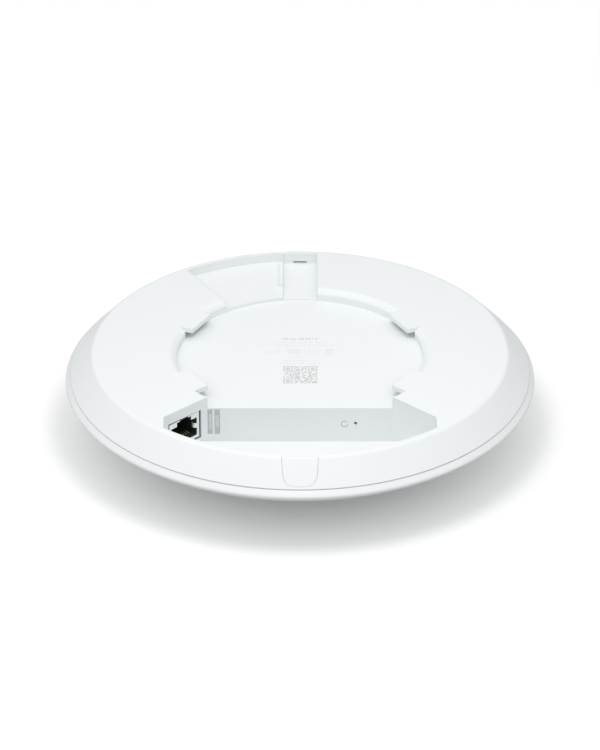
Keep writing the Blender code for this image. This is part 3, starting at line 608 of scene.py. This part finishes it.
def make_wall_marks():
    """Two upright label boxes beside the socket and a ring by the reset hole, on the pocket's far wall."""
    button = (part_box("reset_button")[0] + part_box("reset_button")[1]) / 2 / MM
    wall_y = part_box("reset_switch")[0].y / MM - WALL_TO_SWITCH
    wall = Matrix(((1, 0, 0, button.x), (0, 0, -1, wall_y), (0, 1, 0, button.z), (0, 0, 0, 1)))
    rng = random.Random(11)
    boxes = bmesh.new()
    letters = bmesh.new()
    for (left, right), (count, lowest) in zip(LABEL_X, LABEL_LETTERS):
        width = (right - left) / LABEL_STRIPS
        for k in range(LABEL_STRIPS):
            x = left + k * width
            into_corner = max(0.0, CORNER_START - x)
            rise = into_corner**2 / (2 * CORNER_RADIUS)
            bar(boxes, x, LABEL_Z[0], width, LABEL_Z[1] - LABEL_Z[0], level=rise)
        for k in range(count):
            false_letter(letters, rng, left + LETTER_INSET, lowest + k * LETTER_PITCH)
    symbol = bmesh.new()
    ring(symbol, *RING_PLACE, RING_RADIUS, RING_WIDTH, *RING_ARC)
    for name, mesh_data, finish in (
        ("wall_labels", boxes, "mark_dark"),
        ("wall_label_marks", letters, "mark_pale"),
        ("reset_mark", symbol, "mark_grey"),
    ):
        add_piece(name, mesh_data, "cover_plastic", frame_matrix=wall, smooth=1, finish=finish)


# Network socket


def jack_frame():
    """The socket's frame: x along its face, y into the casing and z up, from its mouth's pivot line."""
    pivot = JOINTS["contact_flex"]
    place = Vector(pivot["pos_m"]) / MM
    along = Vector(pivot["axis"]).normalized()
    inward = Vector((0, 0, 1)).cross(along)
    rotation = Matrix((along, inward, Vector((0, 0, 1)))).transposed()
    return Matrix.Translation(place) @ rotation.to_4x4()


def swept_strip(path, half, thickness):
    """A strip whose (x, y) centre line is path, half tall each way in z."""
    mesh_data = bmesh.new()
    rings = []
    for i, point in enumerate(path):
        before = Vector(path[max(i - 1, 0)])
        after = Vector(path[min(i + 1, len(path) - 1)])
        side = Vector((-(after - before).y, (after - before).x)).normalized() * thickness / 2
        a, b = Vector(point) + side, Vector(point) - side
        corners = ((a, -half), (b, -half), (b, half), (a, half))
        rings.append([mesh_data.verts.new((*place, z)) for place, z in corners])
    for first, second in zip(rings, rings[1:]):
        for k in range(4):
            mesh_data.faces.new((first[k - 1], first[k], second[k], second[k - 1]))
    mesh_data.faces.new(rings[0])
    mesh_data.faces.new(rings[-1][::-1])
    bmesh.ops.recalc_face_normals(mesh_data, faces=mesh_data.faces)
    return mesh_data


def swept_wire(path, radius, sides=10):
    """A round wire along a (y, z) path at x 0, with rounded ends."""
    mesh_data = bmesh.new()
    rings = []
    for i, point in enumerate(path):
        before = Vector(path[max(i - 1, 0)])
        after = Vector(path[min(i + 1, len(path) - 1)])
        along = (after - before).normalized()
        normal = Vector((-along.y, along.x))
        scale = WIRE_END if i in (0, len(path) - 1) else 1.0
        ring_points = []
        for k in range(sides):
            turn = 2 * math.pi * k / sides
            offset = normal * radius * scale * math.sin(turn)
            ring_points.append((radius * scale * math.cos(turn), point[0] + offset.x, point[1] + offset.y))
        rings.append([mesh_data.verts.new(p) for p in ring_points])
    for first, second in zip(rings, rings[1:]):
        for k in range(sides):
            mesh_data.faces.new((first[k - 1], first[k], second[k], second[k - 1]))
    mesh_data.faces.new(rings[0])
    mesh_data.faces.new(rings[-1][::-1])
    bmesh.ops.recalc_face_normals(mesh_data, faces=mesh_data.faces)
    return mesh_data


def shade_collar_mesh():
    """A dark rectangular ring that fills the gap round the shield as painted shade, a dark piece where that
    deep gap is only in shade, as (half width, low, high) inside and out.
    """
    mesh_data = bmesh.new()
    rings = []
    for y in SHADE_COLLAR_Y:
        for half, low, high in (SHADE_COLLAR_INNER, SHADE_COLLAR_OUTER):
            corners = ((-half, y, low), (half, y, low), (half, y, high), (-half, y, high))
            rings.append([mesh_data.verts.new(corner) for corner in corners])
    front_in, front_out, back_in, back_out = rings
    for a, b in ((front_in, front_out), (front_out, back_out), (back_out, back_in), (back_in, front_in)):
        for k in range(4):
            mesh_data.faces.new((a[k - 1], a[k], b[k], b[k - 1]))
    bmesh.ops.recalc_face_normals(mesh_data, faces=mesh_data.faces)
    return mesh_data


def make_socket():
    node_copy("rj45_shield", "socket_shield", bevel=SOCKET_BEVEL)
    node_copy("rj45_insert", "socket_plastic", bevel=SOCKET_BEVEL)
    socket = jack_frame()
    # The dark collar in the gap round the shield is painted shade, not a part of the socket
    add_piece("socket_gap_shade", shade_collar_mesh(), "socket_plastic", frame_matrix=socket)
    finger = socket @ Matrix.Translation(FINGER_PLACE)
    spring = swept_strip(FINGER_PATH, FINGER_HALF, FINGER_SHEET)
    add_piece("shield_spring", spring, "socket_shield", frame_matrix=finger)
    for i in range(CONTACT_COUNT):
        name = f"rj45_contact_{i + 1}"
        along = (i - (CONTACT_COUNT - 1) / 2) * CONTACT_PITCH
        place = socket @ Matrix.Translation((along, 0, 0))
        path = swept_wire(CONTACT_PATH, CONTACT_RADIUS)
        wire = add_piece(name + "_wire", path, "contact_gold", "socket_contacts", place, smooth=50)
        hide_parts(name)


# Stage


def math_node(tree, operation, first, second):
    """A math node's output, for two inputs that are each a socket or a number."""
    node = tree.nodes.new("ShaderNodeMath")
    node.operation = operation
    for i, value in enumerate((first, second)):
        if isinstance(value, (int, float)):
            node.inputs[i].default_value = value
        else:
            tree.links.new(value, node.inputs[i])
    return node.outputs["Value"]


def dot_node(tree, vector, axis):
    node = tree.nodes.new("ShaderNodeVectorMath")
    node.operation = "DOT_PRODUCT"
    tree.links.new(vector, node.inputs[0])
    node.inputs[1].default_value = Vector(axis).normalized()
    return node.outputs["Value"]


def floor_finish():
    """A pale matt floor that takes the object's own soft shadow.

    The camera sees it brighter than it reflects on to the object.
    """
    material = surface(
        "floor_sweep", (FLOOR_BOUNCE,) * 3, spread=0.003, mottle=3.0, rough=(0.7, 0.8), edge=0.0
    )
    tree = material.node_tree
    shader = tree.nodes["Principled BSDF"]
    shader.inputs["Specular IOR Level"].default_value = 0.0
    matt = tree.nodes.new("ShaderNodeBsdfDiffuse")
    matt.inputs["Color"].default_value = (FLOOR_SEEN, FLOOR_SEEN, FLOOR_SEEN, 1)
    glow = tree.nodes.new("ShaderNodeEmission")
    glow.inputs["Strength"].default_value = FLOOR_GLOW
    bright = tree.nodes.new("ShaderNodeAddShader")
    tree.links.new(matt.outputs["BSDF"], bright.inputs[0])
    tree.links.new(glow.outputs["Emission"], bright.inputs[1])
    seen = tree.nodes.new("ShaderNodeLightPath").outputs["Is Camera Ray"]
    mix = tree.nodes.new("ShaderNodeMixShader")
    tree.links.new(seen, mix.inputs["Fac"])
    tree.links.new(shader.outputs["BSDF"], mix.inputs[1])
    tree.links.new(bright.outputs["Shader"], mix.inputs[2])
    tree.links.new(mix.outputs["Shader"], tree.nodes["Material Output"].inputs["Surface"])
    return material


def make_floor():
    floor_z = CAD_BOX[0][2]
    half = FLOOR_HALF
    mesh_data = bmesh.new()
    corners = [(-half, -half), (half, -half), (half, half), (-half, half)]
    mesh_data.faces.new([mesh_data.verts.new((x, y, floor_z)) for x, y in corners])
    mesh = bpy.data.meshes.new("floor_sweep")
    mesh_data.to_mesh(mesh)
    mesh_data.free()
    mesh.materials.append(floor_finish())
    floor = bpy.data.objects.new("floor_sweep", mesh)
    bpy.context.scene.collection.objects.link(floor)


def make_world():
    """Soft light that is strongest from above and the front. The camera sees plain white instead."""
    world = bpy.data.worlds.new("studio")
    bpy.context.scene.world = world
    world.use_nodes = True
    tree = world.node_tree
    direction = tree.nodes.new("ShaderNodeTexCoord").outputs["Generated"]
    total = None
    for axis, power, strength in LIGHTS:
        lobe = math_node(tree, "MAXIMUM", dot_node(tree, direction, axis), 0.0)
        lobe = math_node(tree, "POWER", lobe, power)
        lobe = math_node(tree, "MULTIPLY", lobe, strength)
        total = lobe if total is None else math_node(tree, "ADD", total, lobe)
    seen = tree.nodes.new("ShaderNodeLightPath").outputs["Is Camera Ray"]
    background = tree.nodes["Background"]
    background.inputs["Color"].default_value = (1, 1, 1, 1)
    tree.links.new(total, background.inputs["Strength"])
    white = tree.nodes.new("ShaderNodeBackground")
    white.inputs["Color"].default_value = (1, 1, 1, 1)
    mix = tree.nodes.new("ShaderNodeMixShader")
    tree.links.new(seen, mix.inputs["Fac"])
    tree.links.new(background.outputs["Background"], mix.inputs[1])
    tree.links.new(white.outputs["Background"], mix.inputs[2])
    tree.links.new(mix.outputs["Shader"], tree.nodes["World Output"].inputs["Surface"])


def make_lamp():
    """A round soft box above the front of the object, aimed at the middle of the bracket seat."""
    light = bpy.data.lights.new("soft_box", "AREA")
    light.shape = "DISK"
    light.size = LAMP_SIZE
    light.energy = LAMP_WATTS
    lamp = bpy.data.objects.new("soft_box", light)
    lamp.location = SEAT * MM + Vector(LAMP_PLACE)
    lamp.rotation_euler = (-Vector(LAMP_PLACE)).to_track_quat("-Z", "Y").to_euler()
    lamp.visible_camera = False
    bpy.context.scene.collection.objects.link(lamp)


def make_camera():
    tilt = math.radians(CAMERA_TILT)
    view = Vector((0, math.cos(tilt), -math.sin(tilt)))
    up = Vector((0, math.sin(tilt), math.cos(tilt)))
    target = Vector((0, 0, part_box("rear_cover")[1].z))
    camera = bpy.data.cameras.new("camera")
    camera.sensor_fit = "VERTICAL"
    camera.sensor_height = 36.0
    camera.lens = CAMERA_LENS
    camera.clip_end = 20.0
    holder = bpy.data.objects.new("camera", camera)
    holder.location = target - view * CAMERA_DISTANCE - up * CAMERA_DROP
    holder.rotation_euler = view.to_track_quat("-Z", "Y").to_euler()
    bpy.context.scene.collection.objects.link(holder)
    bpy.context.scene.camera = holder
    bpy.context.scene.view_settings.view_transform = "Standard"


def finish_nodes():
    """The CAD nodes that still show take their slot's finish."""
    for part in frame["record"]["subparts"]:
        node = NODES[part["node"]]
        node.data.materials.clear()
        node.data.materials.append(FINISHES[part["material_slot"]])


make_casing()
make_socket()
make_seat_print()
make_wall_marks()
finish_nodes()
make_floor()
make_world()
make_lamp()
make_camera()
